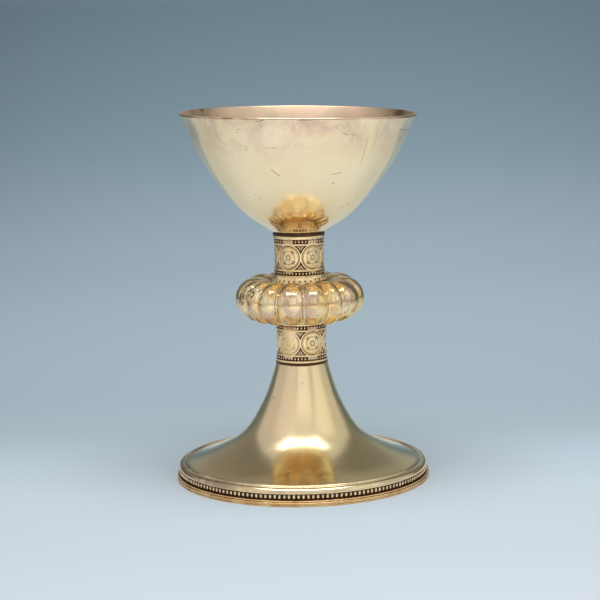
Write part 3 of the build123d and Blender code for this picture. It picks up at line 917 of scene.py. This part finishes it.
def make_stem():
    """Both sleeves with their rings. The lower sleeve sits a little to the right of the axis."""
    stem_inner = sleeve_reach - 0.1 * MM
    for part, worn_at, seed in (("lower_stem", -0.5, 31), ("upper_stem", 2.4, 51)):
        low, high = span(f"{part}_bottom_wire")[1], span(f"{part}_top_wire")[0]
        lower = part == "lower_stem"
        pieces = [make_sleeve(f"{part}_engraving", f"{part}_sleeve", low, high, worn_at, lower,
                              ROUNDEL_TURNS[part])]
        for place in ("bottom", "top"):
            end = f"{part}_{place}"
            for name, node, bulge, waver, own_seed in (("edge", "flange", 0.35, 0.05, seed),
                                                       ("round_wire", "wire", 0.5, 0.03, seed + 1)):
                pieces.append(make_band(f"{end}_{name}", f"{end}_{node}", STEM_GILDING, bulge,
                                        waver, stem_inner, own_seed))
            pieces.append(make_pearls(f"{end}_pearls", f"{end}_pearl_wire", STEM_PEARLS, sleeve_reach,
                                      *STEM_PEARL_SIZE, ((-28, 0.22),) if lower else (), seed + 2))
            seed += 5
        if lower:
            for piece in pieces:
                moved_right(piece, LOWER_STEM_SHIFT)


# -------------------------------- foot

FOOT_STEPS = 320
FOOT_WALL = 1.0 * MM
# The flare as (share of the way out from the neck, share of the way up from the ridge's foot).
FOOT_FLARE = [(0, 1), (0.037, 0.884), (0.147, 0.607), (0.226, 0.468), (0.382, 0.270), (0.604, 0.141),
              (0.859, 0.041), (1, 0)]
FOOT_NECK = 11.3 * MM
MOULDING = 2.1 * MM
MOULDING_CREST = 7.5 * MM
MOULDING_START = 108
RIDGE_RADIUS = 51.4 * MM
RIDGE_CREST = 8.2 * MM
RIDGE_HALF_WIDTH = 0.6 * MM
PLATE_EDGE = 7.7 * MM
PLATE_THICKNESS = 1.2 * MM
ROD_HOLE = 2.6 * MM
FOOT_UNEVENNESS = 0.10 * MM
CONE_WINDOW = (12 * MM, 20 * MM, 38 * MM, 46 * MM)
# The cone's two painted reflections, rose on the left and straw on the right, in radians round the stem.
REFLECTION_TINT_TURN, REFLECTION_TINT_WIDTH = 0.62, 0.42


def make_foot():
    """The foot in one raised sheet: neck, flare and edge moulding, turned round the stem.

    The section is the flare's spline, a ridge that rises as a sine, and the moulding's arc and its
    lip. Then come the moulding and the flare again, one wall further in, and the flat plate at the
    neck. The flare is very slightly uneven round the stem."""
    edge = reach("foot_shell")
    centre = (edge - MOULDING, MOULDING_CREST - MOULDING)
    moulding = arc(centre, MOULDING, MOULDING_START, 0, 26)
    end = np.array([RIDGE_RADIUS - RIDGE_HALF_WIDTH, PLATE_EDGE])
    swing = np.linspace(0, math.pi, 13)[1:-1]
    lift = (RIDGE_CREST - (PLATE_EDGE + moulding[0][1]) / 2) * np.sin(swing) ** 0.8
    share = (1 - np.cos(swing)) / 2
    ridge = end + share[:, None] * (moulding[0] - end) + np.stack([0 * swing, lift], axis=1)
    wide, tall = end[0] - FOOT_NECK, foot_top - end[1]
    knots = [(FOOT_NECK + out * wide, end[1] + up * tall) for out, up in FOOT_FLARE]
    flare = smooth_line(knots, 500)
    under = moved_sideways(flare, -FOOT_WALL)[::-1]
    plate = foot_top - PLATE_THICKNESS
    under = under[under[:, 1] < plate]
    inner_moulding = arc(centre, MOULDING - FOOT_WALL, 0, 180, 14)
    lip = [(edge, foot_low), (edge - FOOT_WALL, foot_low)]
    plate_outline = [(under[-1][0], plate), (ROD_HOLE, plate), (ROD_HOLE, foot_top)]
    section = np.vstack([respaced(flare, 130), ridge, moulding, lip, inner_moulding, respaced(under, 70),
                         plate_outline])
    angle = azimuths(FOOT_STEPS)[:, None]
    radius, level = swept(section, angle)
    out = ramp(radius, 14 * MM, 40 * MM) * (1 - ramp(radius, 50 * MM, 52 * MM))
    level = level + out * wander(angle, FOOT_UNEVENNESS, (2, 3, 5, 8), 12)
    on_cone = window(level, *CONE_WINDOW)
    radius = radius + on_cone * wander(angle, FOOT_UNEVENNESS, (3, 5, 7), 13)
    # The moulding's brown: a stain all round, with painted reflection making it strongest on the left and a
    # little stronger on the right.
    stain_and_reflection_side = 0.25 + 0.75 * side_hill(angle, -1.15, 0.75)
    stain_and_reflection_side = np.maximum(stain_and_reflection_side, 0.55 * side_hill(angle, 1.35, 0.35))
    edge_stain_and_reflection = ramp(radius, 49.8 * MM, 50.6 * MM) * stain_and_reflection_side
    points = turned(radius, level, angle)
    points[..., 0] += LOWER_STEM_SHIFT * ramp(points[..., 2], 15 * MM, 45 * MM)
    # Painted reflections on the cone's upright part: rose on the left and straw on the right.
    upright = ramp(level, 13 * MM, 20 * MM)
    left_rose_reflection = side_hill(angle, -REFLECTION_TINT_TURN, REFLECTION_TINT_WIDTH) * upright
    right_straw_reflection = side_hill(angle, REFLECTION_TINT_TURN, REFLECTION_TINT_WIDTH) * upright
    return ring_of_grid("foot_cone", points, FOOT_GILDING, ["foot_shell"],
                        {"edge_stain_and_reflection": edge_stain_and_reflection, "left_rose_reflection": left_rose_reflection, "right_straw_reflection": right_straw_reflection})


def make_rim():
    """The band, the pearls, the two wires and the flange round the foot."""
    band = reach("foot_rim_band")
    # The band shows between the pearls and the wires; its dark brown there is partly tarnish and partly
    # painted shade.
    make_band("foot_band", "foot_rim_band", DARK_TARNISH_AND_SHADE, 0.05, 0.02, band - 0.8 * MM, 70)
    make_pearls("foot_pearls", "foot_pearl_wire", FOOT_PEARLS, band, *FOOT_PEARL_SIZE,
                ((-47, 0.10), (12, 0.04), (150, 0.12), (-120, 0.06)), 71)
    thin = band - 0.1 * MM
    for name, node, bulge, waver, inner, seed in (
            ("foot_upper_round_wire", "foot_upper_wire", 0.5, 0.05, thin, 72),
            ("foot_lower_round_wire", "foot_lower_wire", 0.4, 0.07, thin, 73),
            ("foot_flange_ring", "foot_base_flange", 0.3, 0.05, reach("foot_base_flange") - 3.2 * MM, 74)):
        make_band(name, node, RIM_GILDING, bulge, waver, inner, seed)


make_bowl()
make_knop()
make_knop_collar("knop_petal_collar", "knop_upper_collar", True, True)
make_knop_collar("knop_plain_collar", "knop_lower_collar", False, False)
make_stem()
make_foot()
make_rim()
# The ring at the stem's foot is dark brown: tarnish, and painted shade in the joint between the stem and the
# foot.
stem_foot_ring = make_band("stem_foot_ring", "stem_base_collar", DARK_TARNISH_AND_SHADE, 0.5, 0.06,
                           10.0 * MM, 80)
moved_right(stem_foot_ring, LOWER_STEM_SHIFT)

# The boss under the bowl is dark brown too: tarnish, and painted shade in the joint between the bowl and the
# stem.
for node, material in (("bowl_boss", DARK_TARNISH_AND_SHADE), ("core_tube", PLAIN_SILVER), ("tie_rod", PLAIN_SILVER),
                       ("rivet_washer", DARK_TARNISH_AND_SHADE)):
    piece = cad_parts[node]
    piece.data.materials.clear()
    piece.data.materials.append(material)

# -------------------------------- floor, light and camera


# The sweep in metres: its front edge, where it bends up, the bend's radius, its top and half its width.
SWEEP_FRONT, SWEEP_BEND, SWEEP_ROUNDING, SWEEP_TOP, SWEEP_SIDE = -5.0, 0.7, 0.9, 3.0, 2.6
SWEEP_START, SWEEP_END = -1.0, 2.6
# The paper's colour along the sweep, blue-grey with painted light and shade: lightest on the floor in front,
# darkest in the bend and lighter again up the wall. Place (Y + Z, in metres) and colour.
SWEEP_TINTS_AND_SHADES = [(-1.0, (0.8, 0.79, 0.75)), (-0.35, (0.74, 0.75, 0.75)), (-0.171, (0.594, 0.666, 0.748)),
                 (-0.13, (0.567, 0.648, 0.726)), (-0.075, (0.548, 0.64, 0.716)),
                 (-0.028, (0.543, 0.638, 0.719)), (0.026, (0.487, 0.582, 0.668)),
                 (0.087, (0.399, 0.492, 0.562)), (0.158, (0.371, 0.465, 0.538)),
                 (0.303, (0.381, 0.477, 0.551)), (0.499, (0.383, 0.488, 0.565)),
                 (0.763, (0.381, 0.49, 0.576)), (0.952, (0.325, 0.428, 0.513)),
                 (1.106, (0.262, 0.363, 0.434)), (1.246, (0.225, 0.318, 0.384)),
                 (1.376, (0.198, 0.285, 0.347)), (1.488, (0.174, 0.255, 0.314)), (1.9, (0.47, 0.5, 0.49)),
                 (2.2, (0.58, 0.58, 0.54)), (2.6, (0.56, 0.54, 0.5))]


def make_sweep():
    """A paper sweep: a flat floor that curves up into a wall far behind, in one sheet.

    Its section is a straight run, a quarter circle and a straight rise, drawn out sideways. Its colour has
    painted light and shade in it: lightest on the floor in front, darkest in the bend, darker towards both
    sides, and a warm glow on the front of the floor."""
    flat = np.stack([np.linspace(SWEEP_FRONT, SWEEP_BEND, 80), np.zeros(80)], axis=1)
    curve = arc((SWEEP_BEND, SWEEP_ROUNDING), SWEEP_ROUNDING, -90, 0, 40)
    rise = np.linspace(SWEEP_ROUNDING, SWEEP_TOP, 21)[1:]
    wall = np.stack([np.full(20, SWEEP_BEND + SWEEP_ROUNDING), rise], axis=1)
    section = np.vstack([flat, curve[1:], wall])
    sides = np.linspace(-SWEEP_SIDE, SWEEP_SIDE, 20)[:, None]
    points = np.stack(np.broadcast_arrays(sides, section[:, 0], section[:, 1]), -1)
    mesh = bpy.data.meshes.new("paper_sweep")
    mesh.from_pydata(points.reshape(-1, 3), [], grid_faces(*points.shape[:2], False, False))
    mesh.polygons.foreach_set("use_smooth", np.ones(len(mesh.polygons), bool))
    paper = Finish("sweep_paper", 0.9, 0.0)
    paper.shader.inputs["Specular IOR Level"].default_value = 0.0
    place = paper.math("ADD", paper.axis("Y"), paper.axis("Z"))
    ramp_node = paper.node("ShaderNodeValToRGB")
    paper.link(paper.between(place, SWEEP_START, SWEEP_END, False), ramp_node.inputs["Fac"])
    elements = ramp_node.color_ramp.elements
    elements.remove(elements[1])
    for number, (where, colour) in enumerate(SWEEP_TINTS_AND_SHADES):
        position = (where - SWEEP_START) / (SWEEP_END - SWEEP_START)
        element = elements[0] if number == 0 else elements.new(position)
        element.position = position
        element.color = (*colour, 1)
    # Painted light: the paper in front of the chalice glows warm, as if lit, fully from Y + Z of -0.7 and
    # fading out by -0.3.
    glow = paper.between(place, -0.30, -0.70)
    paper.shader.inputs["Emission Color"].default_value = (1.0, 0.87, 0.74, 1)
    paper.link(paper.times(glow, 0.34), paper.shader.inputs["Emission Strength"])
    aside = paper.math("POWER", paper.math("ABSOLUTE", paper.math("ADD", paper.axis("X"), -0.06)), 2.0)
    shade = paper.larger(paper.scaled(aside, -1.3, 1.0), 0.55)
    mesh.materials.append(paper.finish(paper.arrows("SCALE", ramp_node.outputs["Color"], shade)[0]))
    sweep = bpy.data.objects.new("paper_sweep", mesh)
    bpy.context.collection.objects.link(sweep)


def soft_box(name, place, target, size, power, colour=(1, 1, 1)):
    """A rectangular soft light at a place, aimed at a target. It gives the light back."""
    data = bpy.data.lights.new(name, "AREA")
    data.shape = "RECTANGLE"
    data.size, data.size_y = size
    data.energy = power
    data.color = colour
    lamp = bpy.data.objects.new(name, data)
    lamp.location = place
    lamp.rotation_euler = (Vector(target) - Vector(place)).to_track_quat("-Z", "Y").to_euler()
    bpy.context.collection.objects.link(lamp)
    return lamp


def light_the_room():
    """Even pale light from all round, and large soft boxes in front and above."""
    world = bpy.data.worlds.new("studio")
    world.use_nodes = True
    world.node_tree.nodes["Background"].inputs["Color"].default_value = (1.0, 0.98, 0.95, 1)
    world.node_tree.nodes["Background"].inputs["Strength"].default_value = 0.60
    bpy.context.scene.world = world
    soft_box("left_box", (-1.5, -1.3, 1.3), (0, 0, 0.08), (1.7, 1.7), 1.6, (1.0, 0.94, 0.89))
    soft_box("right_box", (1.7, -0.9, 1.2), (0, 0, 0.08), (1.5, 1.5), 2.4, (1.0, 0.98, 0.93))
    soft_box("front_box", (0.15, -2.2, 1.25), (0, 0, 0.08), (1.9, 1.5), 3.2, (0.97, 0.98, 1.0))
    soft_box("top_box", (0.0, -0.22, 1.6), (0, 0, 0.05), (1.3, 0.9), 16)
    glow = soft_box("floor_glow", (0, -0.38, 0.002), (0, -0.38, 1), (1.8, 1.3), 1.45, (1.0, 0.82, 0.62))
    glow.visible_camera = False


CAMERA_DISTANCE = 0.7972
CAMERA_HEIGHT = 0.2032
CAMERA_PITCH = math.radians(8.907)
CAMERA_ROLL = math.radians(-1.05)
CAMERA_LENS = 110.6


def place_camera():
    """A long lens in front of the chalice, a little above the rim, looking slightly down."""
    data = bpy.data.cameras.new("camera")
    data.lens = CAMERA_LENS
    data.sensor_width = 36
    camera = bpy.data.objects.new("camera", data)
    turn = Matrix.Rotation(math.pi / 2 - CAMERA_PITCH, 4, "X") @ Matrix.Rotation(CAMERA_ROLL, 4, "Z")
    camera.matrix_world = Matrix.Translation((0, -CAMERA_DISTANCE, CAMERA_HEIGHT)) @ turn
    bpy.context.collection.objects.link(camera)
    bpy.context.scene.camera = camera


make_sweep()
light_the_room()
place_camera()
bpy.context.scene.view_settings.view_transform = "Standard"
